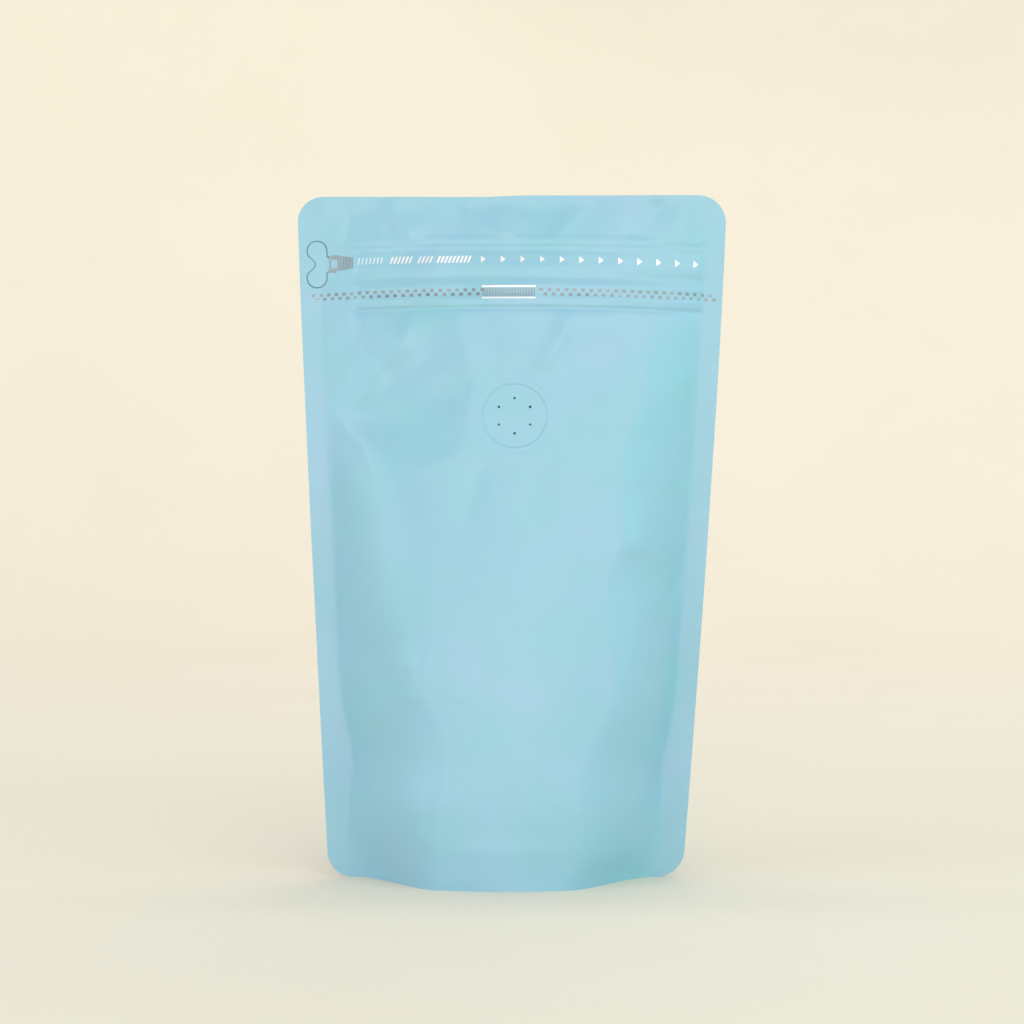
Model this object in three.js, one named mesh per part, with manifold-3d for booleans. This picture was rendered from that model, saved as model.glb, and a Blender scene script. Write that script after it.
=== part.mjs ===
// A filled stand-up coffee pouch of matte laminate: two panels sealed along flat side flanges, a folded
// gusset that opens into an oval foot, a tear-off zipper band with its die-cut pull tab, and a one-way
// degassing valve. Millimetres, +Z up. The pouch stands on the floor at z = 0 and its front faces -Y.
import * as THREE from "three";
import { mergeVertices, toCreasedNormals } from "three/addons/utils/BufferGeometryUtils.js";
import Module from "manifold-3d";

// Driving dimensions of the whole pouch.
const height = 222;
const topHalfWidth = 70;
const footNarrowing = 12.4; // how far each side edge comes in at the foot, as the gusset opens
const narrowingPower = 1.2;
const lean = 2.1; // the foot stands this far to the left of the top
const leanPower = 1.4;
const halfFlange = 0.5; // half the thickness of the sealed flanges
const sideSeal = 6.2;
const leastFlange = 0.8; // what is left of the flange beside the rounded foot corners
const topCorner = { left: 8.5, right: 9.5 };
const footCorner = { left: 7.8, right: 8.2 };

// Depth of one panel in front of the mid-plane, by height. Each list holds [height, value] stations.
const centreDepth = [
  [0, 29.8], [9, 30.2], [22, 30.6], [46, 29.2], [80, 26.6], [123, 20.4], [151, 15.6], [189, 9.2], [207, 4.4],
  [222, 0.3],
];
const shoulderDepth = {
  left: [
    [0, 23.5], [20, 22.5], [46, 18.5], [80, 16.5], [110, 14.5], [126, 11.5], [140, 5.5], [152, 1], [165, 0],
    [222, 0],
  ],
  right: [
    [0, 23.5], [20, 22.5], [46, 18.5], [80, 16], [102, 14.5], [110, 14.6], [123, 13], [135, 11.5],
    [148, 9.5], [161, 6.5], [174, 3], [190, 0.6], [205, 0], [222, 0],
  ],
};
const shoulderWidth = {
  left: [
    [0, 35], [12, 32], [34, 31], [50, 31], [62, 27], [74, 28.5], [90, 33], [110, 34], [123, 30], [132, 23],
    [142, 16.5], [152, 11], [222, 10],
  ],
  right: [
    [0, 31], [12, 27], [33, 27], [46, 25], [60, 20.5], [85, 23.5], [98, 25], [110, 21], [123, 23],
    [135, 23], [148, 21], [161, 17], [180, 15], [222, 15],
  ],
};
// How steeply the flank starts: near 1 it is one flat facet with a crisp inner fold.
const shoulderPower = {
  left: [
    [0, 1.5], [34, 1.7], [50, 1.8], [62, 1.4], [74, 1.5], [90, 2.2], [123, 2.4], [140, 1.8], [222, 1.8],
  ],
  right: [
    [0, 1.5], [33, 1.8], [60, 1.8], [85, 1.9], [98, 1.8], [110, 1.4], [123, 1.7], [148, 1.5], [222, 1.6],
  ],
};
const sealSwell = { // the flange is wider where the folded gusset ends in it
  left: { height: 40, spread: 14, amount: 2.8 },
  right: { height: 34, spread: 15, amount: 2.6 },
};

// The zipper band across the front: the tape raises the film, and its profiles show as ridges along it.
const band = {
  left: -52.3, right: 62.9, bottom: 185.2, top: 205.3, raise: 0.3, soft: 0.8, arch: 0.9, archHalf: 64,
};
const bandRidges = [ // height, amount and half width of each ridge or groove
  [207.2, 0.45, 1.3], [205.0, -0.35, 0.8], [198.2, 0.25, 1.7], [194.4, -0.4, 1.2], [191.3, 0.3, 1.3],
  [187.2, 0.45, 1.2], [184.9, -0.35, 0.8],
];

// Creases pressed into the filled film: a ridge where amount is above zero, a valley where it is below.
const frontCreases = [
  { x: -37, z: 214, turn: -58, length: 9, width: 3.2, amount: -1.1 },
  { x: -27, z: 215, turn: -70, length: 9, width: 5, amount: 0.9 },
  { x: -11, z: 211.5, turn: 0, length: 7, width: 3, amount: -1.0 },
  { x: 14, z: 214, turn: 20, length: 12, width: 4, amount: 0.5 },
  { x: 43, z: 213, turn: 52, length: 9, width: 3.4, amount: -1.1 },
  { x: 52, z: 214, turn: 48, length: 9, width: 4, amount: 0.7 },
  { x: -37, z: 169, turn: 46, length: 17, width: 4.5, amount: -1.0 },
  { x: -49, z: 178, turn: -62, length: 8, width: 3, amount: 0.8 },
  { x: 12, z: 168, turn: 42, length: 9, width: 3, amount: 0.7 },
  { x: 35, z: 172, turn: -58, length: 12, width: 5, amount: 0.6 },
  { x: -19, z: 152, turn: 8, length: 10, width: 4, amount: -0.8 },
  { x: -8, z: 131, turn: 62, length: 11, width: 4, amount: -0.9 },
  { x: 24, z: 148, turn: -14, length: 12, width: 3.5, amount: -0.6 },
  { x: 45, z: 106, turn: -12, length: 10, width: 4, amount: 1.0 },
  { x: 46, z: 122, turn: -38, length: 10, width: 6, amount: -0.8 },
  { x: -42, z: 66, turn: -60, length: 8, width: 4, amount: -0.8 },
  { x: -33, z: 64, turn: 88, length: 8, width: 3.5, amount: 0.5 },
];
const backCreases = [
  { x: 30, z: 206, turn: -50, length: 12, width: 4, amount: -1.0 },
  { x: -22, z: 204, turn: 62, length: 13, width: 4.5, amount: -0.9 },
  { x: 4, z: 186, turn: 5, length: 26, width: 5, amount: 0.5 },
  { x: -40, z: 160, turn: 55, length: 16, width: 5, amount: -1.3 },
  { x: 42, z: 150, turn: -48, length: 15, width: 5, amount: -1.2 },
  { x: 44, z: 84, turn: -25, length: 12, width: 5, amount: -1.6 },
  { x: -46, z: 108, turn: 30, length: 11, width: 5, amount: -1.4 },
  { x: -30, z: 20, turn: -35, length: 10, width: 5, amount: 0.9 },
];

const valve = {
  x: 0.8, z: 149.6, radius: 10.3, thickness: 1.2, rim: 0.5, groove: 0.15,
  holes: 6, holeCircle: 5.7, holeRadius: 0.45,
  flatMargin: 1.5, blendMargin: 10, // the film is flat this far round the disc, and free of it that far out
};
const tab = {
  x: -63.5, z: 199.4, lobe: 3.1, lobeOffset: 4.35, notch: -0.4, neckHalf: 2.3, neckEnd: 4,
  thickness: 0.4, proud: 0.2,
};
const gap = 0.3; // free space round each inlaid piece

// The underside between the two bottom edges: a flat rim, a skirt wall, and the gusset's web, which sags under
// the fill and keeps the line of its middle fold. The web's stations are [distance in, height].
const foot = {
  web: [[0, 0], [1.3, 0], [2.9, 7], [5.5, 6.2], [10, 4.4], [18, 3.3], [31, 2.9]],
  fold: 1.2, foldWidth: 3.2, closedBelow: 2.3, openAbove: 14,
  inward: [1.3, 2.9, 5.5, 11, 18, 25],
};

// How steeply the crown starts, the height over which the foot softens the whole panel, and the small bend in
// which the film leaves its seal.
const bellyForm = { crownPower: 2, softFoot: 30, toe: 1.8 };
// Creases fade out over these distances: at the seals, at the foot, at the top edge.
const creaseFade = { seal: 6, foot: 4, top: 5 };
// Mesh density: columns over the belly and how much they gather beside the seals, and how many rows each
// stretch of height has, as [from, to, rows]. They stand close at the foot, the zipper band and the top.
const mesh = {
  columns: 36,
  gather: 0.55,
  rows: [[0, 8, 5], [8, 70, 9], [70, 179, 13], [179, 210, 22], [210, height, 6]],
};

const colours = { film: 0xa6d3e2, valve: 0xa4d2df };

// Smooth step from 0 at a to 1 at b.
function ease(a, b, value) {
  const t = THREE.MathUtils.clamp((value - a) / (b - a), 0, 1);
  return t * t * (3 - 2 * t);
}

function bump(distance) {
  return Math.exp(-distance * distance);
}

// A smooth curve through [height, value] stations, by cubic Hermite spans with limited slopes.
function loft(stations, z) {
  const last = stations.length - 1;
  if (z <= stations[0][0]) return stations[0][1];
  if (z >= stations[last][0]) return stations[last][1];
  const i = stations.findIndex(([h]) => h > z) - 1;
  const chord = (k) => (stations[k + 1][1] - stations[k][1]) / (stations[k + 1][0] - stations[k][0]);
  const slope = (k) => {
    if (k === 0 || k === last) return 0;
    const before = chord(k - 1);
    const after = chord(k);
    return before * after <= 0 ? 0 : (2 * before * after) / (before + after);
  };
  const [[za, a], [zb, b]] = [stations[i], stations[i + 1]];
  const span = zb - za;
  const t = (z - za) / span;
  const rise = t * t * (3 - 2 * t);
  return a + (b - a) * rise + span * (slope(i) * t * (1 - t) ** 2 - slope(i + 1) * t * t * (1 - t));
}

function centreLine(z) {
  return -lean * Math.max(0, 1 - z / height) ** leanPower;
}

// Half the width at a height, before the corners are rounded.
function halfWidth(z) {
  return topHalfWidth - footNarrowing * Math.max(0, 1 - z / height) ** narrowingPower;
}

// How far the corners' arcs bring the edge in.
function cornerInset(side, z) {
  const inset = (radius, run) => radius - Math.sqrt(Math.max(0, radius ** 2 - Math.max(0, run) ** 2));
  const [top, low] = [topCorner[side], footCorner[side]];
  return inset(top, z - (height - top)) + inset(low, low - z);
}

function sealWidth(side, z) {
  const swell = sealSwell[side];
  return sideSeal + swell.amount * bump((z - swell.height) / swell.spread);
}

// Height of the zipper band's own lines at x, which arch a little over the full belly.
function bandArch(x) {
  return -band.arch * (x / band.archHalf) ** 2;
}

function bandRelief(x, z) {
  const level = z - bandArch(x);
  const across = ease(band.left, band.left + 5, x) * ease(band.right, band.right - 3, x);
  const { bottom, top, soft } = band;
  const tape = band.raise * ease(bottom - soft, bottom + soft, level) * ease(top + soft, top - soft, level);
  const ridges = bandRidges.reduce((sum, [h, amount, half]) => sum + amount * bump((level - h) / half), 0);
  return across * (tape + ridges);
}

function creaseRelief(creases, x, z) {
  let sum = 0;
  for (const { x: cx, z: cz, turn, length, width, amount } of creases) {
    const angle = THREE.MathUtils.degToRad(turn);
    const along = (x - cx) * Math.cos(angle) + (z - cz) * Math.sin(angle);
    const across = (z - cz) * Math.cos(angle) - (x - cx) * Math.sin(angle);
    sum += amount * bump(along / length) * bump(across / width);
  }
  const fade = ease(0, creaseFade.seal, inside(x, z).depth) * ease(0, creaseFade.foot, z);
  return sum * fade * ease(height, height - creaseFade.top, z);
}

// Distance from the seal's inner edge towards the middle, and the full distance to the middle.
function inside(x, z) {
  const offset = x - centreLine(z);
  const side = offset < 0 ? "left" : "right";
  const reach = halfWidth(z) - sealWidth(side, z);
  return { side, reach, depth: reach - Math.abs(offset) };
}

// The filled shape without creases: a steep shoulder beside each seal and a slow crown between them. Both
// start steeply in the body, and softly at the foot, where the panel leaves the flange in a long S.
function belly(x, z) {
  const { side, reach, depth: straight } = inside(x, z);
  if (straight <= 0) return 0;
  const depth = straight ** 2 / (straight + bellyForm.toe);
  const soft = ease(bellyForm.softFoot, 0, z);
  const rise = (q, power) => THREE.MathUtils.lerp(1 - (1 - q) ** power, q * q * (3 - 2 * q), soft);
  const shoulder = loft(shoulderDepth[side], z);
  const crown = loft(centreDepth, z) - shoulder;
  const across = Math.min(1, depth / loft(shoulderWidth[side], z));
  const power = loft(shoulderPower[side], z);
  return shoulder * rise(across, power) + crown * rise(depth / reach, bellyForm.crownPower);
}

function frontLoose(x, z) {
  return halfFlange + belly(x, z) + creaseRelief(frontCreases, x, z) + bandRelief(x, z);
}

// The rigid valve keeps the film round it flat: its plane at the valve, blended out over the film.
const valvePlane = (() => {
  const step = 4;
  const slopeX = (frontLoose(valve.x + step, valve.z) - frontLoose(valve.x - step, valve.z)) / (2 * step);
  const slopeZ = (frontLoose(valve.x, valve.z + step) - frontLoose(valve.x, valve.z - step)) / (2 * step);
  return { depth: frontLoose(valve.x, valve.z), slopeX, slopeZ };
})();

function frontDepth(x, z) {
  const loose = frontLoose(x, z);
  const distance = Math.hypot(x - valve.x, z - valve.z);
  const held = ease(valve.radius + valve.blendMargin, valve.radius + valve.flatMargin, distance);
  const flat = valvePlane.depth + valvePlane.slopeX * (x - valve.x) + valvePlane.slopeZ * (z - valve.z);
  return THREE.MathUtils.lerp(loose, flat, held);
}

// The back panel holds the same belly, mirrored, without a band or a valve.
function backDepth(x, z) {
  const mirrored = 2 * centreLine(z) - x;
  return halfFlange + belly(mirrored, z) + creaseRelief(backCreases, x, z);
}

// Heights of the mesh rows.
function rowHeights() {
  const stretch = ([from, to, count]) =>
    Array.from({ length: count }, (_, i) => from + ((to - from) * i) / count);
  return [...mesh.rows.flatMap(stretch), height];
}

// Places of the mesh columns in one row: the flange, then the belly with closer columns beside the seals.
function columnPlaces(z) {
  const edge = (side) => halfWidth(z) - cornerInset(side, z);
  const seam = (side) => Math.min(halfWidth(z) - sealWidth(side, z), edge(side) - leastFlange);
  const middle = centreLine(z);
  const leftSeam = -seam("left");
  const rightSeam = seam("right");
  const places = [-edge("left")];
  for (let i = 0; i <= mesh.columns; i += 1) {
    const even = i / mesh.columns;
    const gathered = (1 - Math.cos(Math.PI * even)) / 2;
    places.push(leftSeam + (rightSeam - leftSeam) * THREE.MathUtils.lerp(even, gathered, mesh.gather));
  }
  places.push(edge("right"));
  return places.map((x) => middle + x);
}

// Height of the underside at a place between the bottom edges, dist from the nearer one.
function footHeight(depth, dist, y) {
  const open = ease(foot.closedBelow, foot.openAbove, depth);
  const fold = dist > foot.inward[0] ? foot.fold * Math.exp(-Math.abs(y) / foot.foldWidth) : 0;
  return open * (loft(foot.web, dist) + fold);
}

// One closed surface: front, back, both cut edges, the top edge and the underside.
function pouchGeometry() {
  const rows = rowHeights();
  const positions = [];
  const indices = [];
  const addPoint = (x, y, z) => positions.push(x, y, z) / 3 - 1;
  const sheet = (sign, depthAt) =>
    rows.map((z) => columnPlaces(z).map((x) => addPoint(x, sign * depthAt(x, z), z)));
  const front = sheet(-1, frontDepth);
  const back = sheet(1, backDepth);
  const face = (a, b, c, flip) => {
    if (a === b || b === c || c === a) return;
    indices.push(...(flip ? [a, c, b] : [a, b, c]));
  };
  const skin = (grid, flip) => {
    for (let i = 0; i + 1 < grid.length; i += 1) {
      for (let j = 0; j + 1 < grid[i].length; j += 1) {
        const [a, b, c, d] = [grid[i][j], grid[i][j + 1], grid[i + 1][j + 1], grid[i + 1][j]];
        face(a, b, c, flip);
        face(a, c, d, flip);
      }
    }
  };
  skin(front, false);
  skin(back, true);
  const last = front[0].length - 1;
  skin([front.map((row) => row[0]), back.map((row) => row[0])], false);
  skin([front.map((row) => row[last]), back.map((row) => row[last])], true);
  skin([front[rows.length - 1], back[rows.length - 1]], false);
  skin(undersideRows(front[0], back[0], positions, addPoint), true);
  const geometry = new THREE.BufferGeometry();
  geometry.setAttribute("position", new THREE.Float32BufferAttribute(positions, 3));
  geometry.setIndex(indices);
  return geometry;
}

// Rows of the underside from the front's bottom edge to the back's. They share those edges' points, and at
// the two ends they run together into the flange's corners.
function undersideRows(frontEdge, backEdge, positions, addPoint) {
  const steps = foot.inward;
  const inward = (depth) => steps.map((step, k) => Math.min(step, (depth * (k + 1)) / (steps.length + 1)));
  const isEnd = (j) => j === 0 || j === frontEdge.length - 1;
  const line = (sign, k) => (sign < 0 ? frontEdge : backEdge).map((point, j) => {
    if (isEnd(j)) return point;
    const x = positions[3 * point];
    const depth = Math.abs(positions[3 * point + 1]);
    const dist = inward(depth)[k];
    const y = sign * (depth - dist);
    return addPoint(x, y, footHeight(depth, dist, y));
  });
  const middle = frontEdge.map((point, j) => {
    if (isEnd(j)) return point;
    const depth = (Math.abs(positions[3 * point + 1]) + Math.abs(positions[3 * backEdge[j] + 1])) / 2;
    return addPoint(positions[3 * point], 0, footHeight(depth, depth, 0));
  });
  const fromFront = steps.map((_, k) => line(-1, k));
  const toBack = steps.map((_, k) => line(1, k)).reverse();
  return [frontEdge, ...fromFront, middle, ...toBack, backEdge];
}

// The valve's face: a disc with a pressed ring near its edge. Its axis is +Y until it is turned.
function valveGeometry() {
  const { radius, thickness, rim, groove } = valve;
  const bevel = 0.4 * rim;
  const profile = [
    [0, -thickness], [radius, -thickness], [radius, -bevel], [radius - bevel, 0], [radius - rim, 0],
    [radius - 1.4 * rim, -groove], [radius - 2 * rim, -groove], [radius - 2.4 * rim, 0], [0, 0],
  ];
  return new THREE.LatheGeometry(profile.map(([x, y]) => new THREE.Vector2(x, y)), 48);
}

// The valve's seat, cut from well in front of the film.
function seatGeometry() {
  const deep = valve.thickness + gap;
  const above = 4;
  const radius = valve.radius + gap;
  return new THREE.CylinderGeometry(radius, radius, deep + above, 48).translate(0, (above - deep) / 2, 0);
}

// The pull tab's outline: a straight right side with a neck in its middle, a round lobe above and below,
// and a notch between the lobes on the left.
function tabShape(grow) {
  const lobe = tab.lobe + grow;
  const notch = tab.notch - grow;
  const lobeEnd = Math.PI * 1.15;
  const bend = 1; // how far each curve runs on in its own direction
  const [endX, endZ] = [lobe * Math.cos(lobeEnd), tab.lobeOffset + lobe * Math.sin(lobeEnd)];
  const shape = new THREE.Shape();
  shape.moveTo(tab.neckEnd + grow, tab.neckHalf + grow);
  shape.lineTo(lobe, tab.neckHalf + grow);
  shape.absarc(0, tab.lobeOffset, lobe, 0, lobeEnd, false);
  shape.bezierCurveTo(endX + bend, endZ - bend, notch, bend, notch, 0);
  shape.bezierCurveTo(notch, -bend, endX + bend, bend - endZ, endX, -endZ);
  shape.absarc(0, -tab.lobeOffset, lobe, -lobeEnd, 0, false);
  shape.lineTo(lobe, -tab.neckHalf - grow);
  shape.lineTo(tab.neckEnd + grow, -tab.neckHalf - grow);
  shape.closePath();
  return shape;
}

// A plate of the tab's outline standing on the plane y = floorY and reaching forward, towards -Y.
function tabGeometry(grow, thickness, floorY) {
  const options = { depth: thickness, bevelEnabled: false, curveSegments: 12 };
  const plate = new THREE.ExtrudeGeometry(tabShape(grow), options);
  plate.rotateX(Math.PI / 2);
  return plate.translate(tab.x, floorY, tab.z);
}

const creaseAngle = THREE.MathUtils.degToRad(35); // edges sharper than this are shaded as edges

const wasm = await Module();
wasm.setup();

function solidOf(geometry) {
  const bare = new THREE.BufferGeometry().setAttribute("position", geometry.getAttribute("position").clone());
  bare.setIndex(geometry.index);
  const merged = mergeVertices(bare, 1e-3);
  const vertProperties = merged.attributes.position.array;
  const triVerts = new Uint32Array(merged.index.array);
  return new wasm.Manifold(new wasm.Mesh({ numProp: 3, vertProperties, triVerts }));
}

function geometryOf(solid) {
  const cut = solid.getMesh();
  const geometry = new THREE.BufferGeometry();
  geometry.setAttribute("position", new THREE.BufferAttribute(cut.vertProperties, 3));
  geometry.setIndex(new THREE.BufferAttribute(cut.triVerts, 1));
  return toCreasedNormals(geometry, creaseAngle);
}

function namedMesh(name, geometry, colour, roughness) {
  const material = new THREE.MeshStandardMaterial({ color: colour, roughness, metalness: 0 });
  const piece = new THREE.Mesh(geometry, material);
  piece.name = name;
  return piece;
}

// The valve's place on the front panel, with its axis along the film's outward normal.
function placeValve(object) {
  const normal = new THREE.Vector3(-valvePlane.slopeX, -1, -valvePlane.slopeZ).normalize();
  object.quaternion.setFromUnitVectors(new THREE.Vector3(0, 1, 0), normal);
  object.position.set(valve.x, -valvePlane.depth, valve.z);
  object.updateMatrix();
  return object;
}

function valveHoles() {
  const hole = new THREE.CylinderGeometry(valve.holeRadius, valve.holeRadius, 3 * valve.thickness, 10);
  return Array.from({ length: valve.holes }, (_, i) => {
    const angle = (2 * Math.PI * i) / valve.holes;
    return hole.clone().translate(valve.holeCircle * Math.sin(angle), 0, valve.holeCircle * Math.cos(angle));
  });
}

function makeValve() {
  const pierced = valveHoles().reduce((disc, hole) => disc.subtract(solidOf(hole)), solidOf(valveGeometry()));
  return placeValve(namedMesh("valve", geometryOf(pierced), colours.valve, 0.5));
}

function makePullTab() {
  const floorY = tab.thickness - tab.proud - halfFlange;
  return namedMesh("pull_tab", tabGeometry(0, tab.thickness, floorY), colours.film, 0.55);
}

// The pouch, with the seats of the valve and the tab cut out of its front.
function makePouch() {
  const seat = placeValve(new THREE.Mesh(seatGeometry()));
  const valveSeat = seat.geometry.applyMatrix4(seat.matrix);
  const tabSeat = tabGeometry(gap, 3 * halfFlange, 0);
  const solid = solidOf(pouchGeometry()).subtract(solidOf(valveSeat)).subtract(solidOf(tabSeat));
  return namedMesh("pouch", geometryOf(solid), colours.film, 0.55);
}

const group = new THREE.Group();
group.add(makePouch(), makeValve(), makePullTab());

export default group;
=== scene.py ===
# A filled stand-up coffee pouch in matte laminate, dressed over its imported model.
# The value tables are in millimetres: x to the right, z up, and depths forward from the sealed mid-plane.
import math

import bmesh
import bpy
import numpy as np
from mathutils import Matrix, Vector


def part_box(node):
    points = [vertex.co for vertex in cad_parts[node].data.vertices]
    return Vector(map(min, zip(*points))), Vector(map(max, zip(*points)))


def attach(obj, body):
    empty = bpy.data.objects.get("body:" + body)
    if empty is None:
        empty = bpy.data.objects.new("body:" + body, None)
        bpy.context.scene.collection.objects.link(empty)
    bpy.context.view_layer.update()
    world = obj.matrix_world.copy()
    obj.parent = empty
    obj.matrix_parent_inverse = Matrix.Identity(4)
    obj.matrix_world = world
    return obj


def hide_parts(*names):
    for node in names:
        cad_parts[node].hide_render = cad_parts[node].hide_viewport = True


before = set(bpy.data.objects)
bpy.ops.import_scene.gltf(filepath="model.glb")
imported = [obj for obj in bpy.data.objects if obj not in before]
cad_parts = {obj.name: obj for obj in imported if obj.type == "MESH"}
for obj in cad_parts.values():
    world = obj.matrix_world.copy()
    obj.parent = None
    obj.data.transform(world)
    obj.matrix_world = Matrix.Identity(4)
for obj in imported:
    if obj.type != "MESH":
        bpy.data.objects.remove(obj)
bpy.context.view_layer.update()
mm = 0.001
weldDistance = 1e-7
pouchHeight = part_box("pouch")[1].z / mm
print("frame loaded:", len(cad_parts), "nodes, the pouch is", round(pouchHeight, 2), "mm high")


def toLinear(hexColour):
    parts = [int(hexColour[i:i + 2], 16) / 255 for i in (1, 3, 5)]
    return tuple(c / 12.92 if c <= 0.04045 else ((c + 0.055) / 1.055) ** 2.4 for c in parts) + (1.0,)


def setInputs(tree, node, inputs):  # fixed values and links, where a node stands for its first output
    for name, value in inputs.items():
        if isinstance(value, bpy.types.Node):
            value = value.outputs[0]
        if isinstance(value, bpy.types.NodeSocket):
            tree.links.new(value, node.inputs[name])
        else:
            node.inputs[name].default_value = value


def addNode(tree, kind, inputs=None, **settings):
    node = tree.nodes.new(kind)
    for name, value in settings.items():
        setattr(node, name, value)
    setInputs(tree, node, inputs or {})
    return node


def ease(start, end, value):  # smooth step from 0 at start to 1 at end
    t = np.clip((value - start) / (end - start), 0, 1)
    return t * t * (3 - 2 * t)


def bump(distance):
    return np.exp(-distance ** 2)


def loft(stations, z):  # a smooth curve through [height, value] stations that never overshoots them
    heights, values = np.array(stations, float).T
    chord = np.diff(values) / np.diff(heights)
    before, after = chord[:-1], chord[1:]
    same = before * after > 0
    slope = np.zeros(len(values))
    slope[1:-1][same] = 2 * before[same] * after[same] / (before[same] + after[same])
    z = np.clip(z, heights[0], heights[-1])
    i = np.clip(np.searchsorted(heights, z, side="right") - 1, 0, len(values) - 2)
    span = heights[i + 1] - heights[i]
    t = (z - heights[i]) / span
    rise = values[i] + (values[i + 1] - values[i]) * t * t * (3 - 2 * t)
    return rise + span * (slope[i] * t * (1 - t) ** 2 - slope[i + 1] * t * t * (1 - t))


def meshObject(name, points, faces, materials, faceMaterials=None):  # points in millimetres
    mesh = bpy.data.meshes.new(name)
    mesh.from_pydata((np.asarray(points, float) * mm).tolist(), [], faces)
    for material in materials:
        mesh.materials.append(material)
    if faceMaterials is not None:
        mesh.polygons.foreach_set("material_index", np.asarray(faceMaterials, np.int32))
    piece = bpy.data.objects.new(name, mesh)
    bpy.context.scene.collection.objects.link(piece)
    return piece


def closeUp(piece):  # merges doubled points and turns every face outwards
    mesh = bmesh.new()
    mesh.from_mesh(piece.data)
    bmesh.ops.remove_doubles(mesh, verts=mesh.verts, dist=weldDistance)
    bmesh.ops.recalc_face_normals(mesh, faces=mesh.faces)
    mesh.to_mesh(piece.data)
    mesh.free()


def applyModifiers(piece):
    solid = bpy.data.meshes.new_from_object(piece.evaluated_get(bpy.context.evaluated_depsgraph_get()))
    rough = piece.data
    piece.modifiers.clear()
    piece.data = solid
    bpy.data.meshes.remove(rough)
    solid.name = piece.name


def cutAway(piece, cutter):
    cut = piece.modifiers.new("cut", "BOOLEAN")
    cut.object = cutter
    cut.operation = "DIFFERENCE"
    cut.solver = "MANIFOLD"
    applyModifiers(piece)
    bpy.data.objects.remove(cutter)


def shadeSmooth(piece, edgeAngle=40):
    piece.data.shade_smooth()
    piece.data.set_sharp_from_angle(angle=math.radians(edgeAngle))


def finishPiece(piece, slotName, *replacedNodes):
    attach(piece, "root")
    if replacedNodes:
        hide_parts(*replacedNodes)


def gridFaces(grid, flip=False):  # the quads between the rows of a grid of point numbers
    a, b, c, d = grid[:-1, :-1], grid[:-1, 1:], grid[1:, 1:], grid[1:, :-1]
    order = (a, d, c, b) if flip else (a, b, c, d)
    return np.stack([part.ravel() for part in order], axis=1).tolist()


def fanFaces(centre, rim, flip=False):  # the triangles between one point and a ring of point numbers
    pairs = zip(rim[:-1].tolist(), rim[1:].tolist())
    return [[centre, b, a] if flip else [centre, a, b] for a, b in pairs]


def closedRings(count, segments):  # a grid of point numbers from 1, in rings that close on themselves
    rings = 1 + np.arange(count * segments).reshape(count, segments)
    return np.hstack([rings, rings[:, :1]])


def newMaterial(name):  # with its tree, its shader and the object's own coordinates
    material = bpy.data.materials.new(name)
    material.use_nodes = True
    tree = material.node_tree
    place = addNode(tree, "ShaderNodeTexCoord").outputs["Object"]
    return material, tree, tree.nodes["Principled BSDF"], place


filmLook = {
    "colour": "#8bb9d2",
    "cloudColour": "#84bccd",
    "cloudSize": 24,  # the tint drifts this slowly where the film was stretched over its fill
    "glossiest": 0.38, "dullest": 0.43,  # its roughness drifts between these
    "grainSize": 0.35,  # the real tooth is finer and is drawn as coarse as it needs to show
    "grainDepth": 0.012,
    "ior": 1.75,
}
# two copies of one foil: bright has the foil's own colour, the darker grey copy is painted shade
foilLooks = {
    "bright": {"colour": "#f0efee", "glossiest": 0.42, "dullest": 0.58, "rippleSize": 2.6,
               "rippleDepth": 0.06},
    "dull": {"colour": "#89939a", "glossiest": 0.3, "dullest": 0.46, "rippleSize": 2.6, "rippleDepth": 0.1},
}
edgeLook = {"colour": "#b9cdd3", "inkColour": "#7fa6b4", "roughness": 0.5, "layer": 0.11}
# painted shade: the dark blue-grey of the die cut's walls and floor and of the pull tab's edges
cutShadeLook = {"colour": "#4f7f90", "roughness": 0.6, "pebbleSize": 0.3, "pebbleDepth": 0.03}
# painted shade: the dark disc behind the valve's pinholes and the walls of the pinholes
coreShadeLook = {"colour": "#1f3a42", "roughness": 0.6, "pebbleSize": 0.5, "pebbleDepth": 0.03}
noiseRange = {"From Min": 0.3, "From Max": 0.7}  # most of a noise's values lie between these


def matteBoppFilm(look):
    # Matte oriented polypropylene, reverse printed and laminated to foil: an even, chalky blue with a wide
    # soft highlight and a fine tooth in its varnish. Tint and gloss drift a little over the filled faces.
    material, tree, shader, place = newMaterial("matteBoppFilm")
    cloud = addNode(tree, "ShaderNodeTexNoise",
                    {"Vector": place, "Scale": 1 / (look["cloudSize"] * mm), "Detail": 3.0,
                     "Roughness": 0.45})
    drift = addNode(tree, "ShaderNodeMapRange", {"Value": cloud, **noiseRange})
    tint = addNode(tree, "ShaderNodeMix",
                   {0: drift, 6: toLinear(look["colour"]), 7: toLinear(look["cloudColour"])},
                   data_type="RGBA")
    gloss = addNode(tree, "ShaderNodeMapRange",
                    {"Value": drift, "To Min": look["glossiest"], "To Max": look["dullest"]})
    grain = addNode(tree, "ShaderNodeTexNoise",
                    {"Vector": place, "Scale": 1 / (look["grainSize"] * mm), "Detail": 2.0})
    tooth = addNode(tree, "ShaderNodeBump",
                    {"Height": grain, "Strength": 1.0, "Distance": look["grainDepth"] * mm})
    setInputs(tree, shader, {"Base Color": tint.outputs[2], "Roughness": gloss, "Normal": tooth,
                             "IOR": look["ior"]})
    return material


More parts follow.
